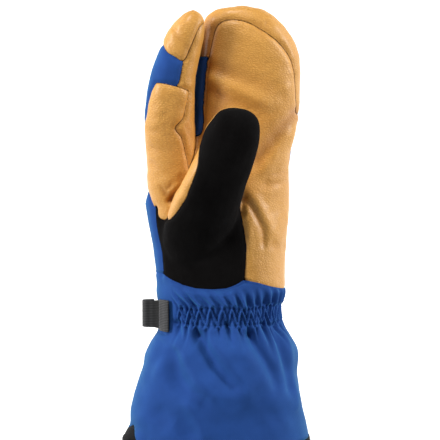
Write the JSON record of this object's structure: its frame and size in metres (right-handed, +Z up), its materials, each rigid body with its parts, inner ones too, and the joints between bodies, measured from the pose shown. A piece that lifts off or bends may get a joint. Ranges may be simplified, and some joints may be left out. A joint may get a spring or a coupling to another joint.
{
  "type": "lobster claw mitt",
  "caption": "Left-hand three-finger mitt: leather palm and fingertips, blue shell, black thumb, gathered wrist, flared gauntlet and webbing pull loop.",
  "frame": {"origin": "on the surface it stands on, under the middle of the bounding box", "axes": "+Z up from the hem to the fingertips, -Y the palm side, +Y the back of the hand, -X the thumb side"},
  "size_m": [0.1518, 0.1406, 0.356],
  "materials": {
    "leather": "golden tan grained goat leather, satin",
    "blue_shell": "blue softshell, matt",
    "black_fleece": "black brushed fabric, matt",
    "black_trim": "black woven tape, matt",
    "webbing": "dark grey ribbed webbing"
  },
  "bodies": {
    "root": {"back_panel": "blue_shell", "finger_cap": "leather", "gauntlet": "blue_shell", "hem_binding": "black_trim", "index_face": "leather", "index_fork_strip": "leather", "index_tip": "leather", "palm_panel": "leather", "pull_loop": "webbing", "side_gusset": "black_trim", "thumb_back": "black_fleece", "thumb_inner": "leather"}
  },
  "joints": []
}
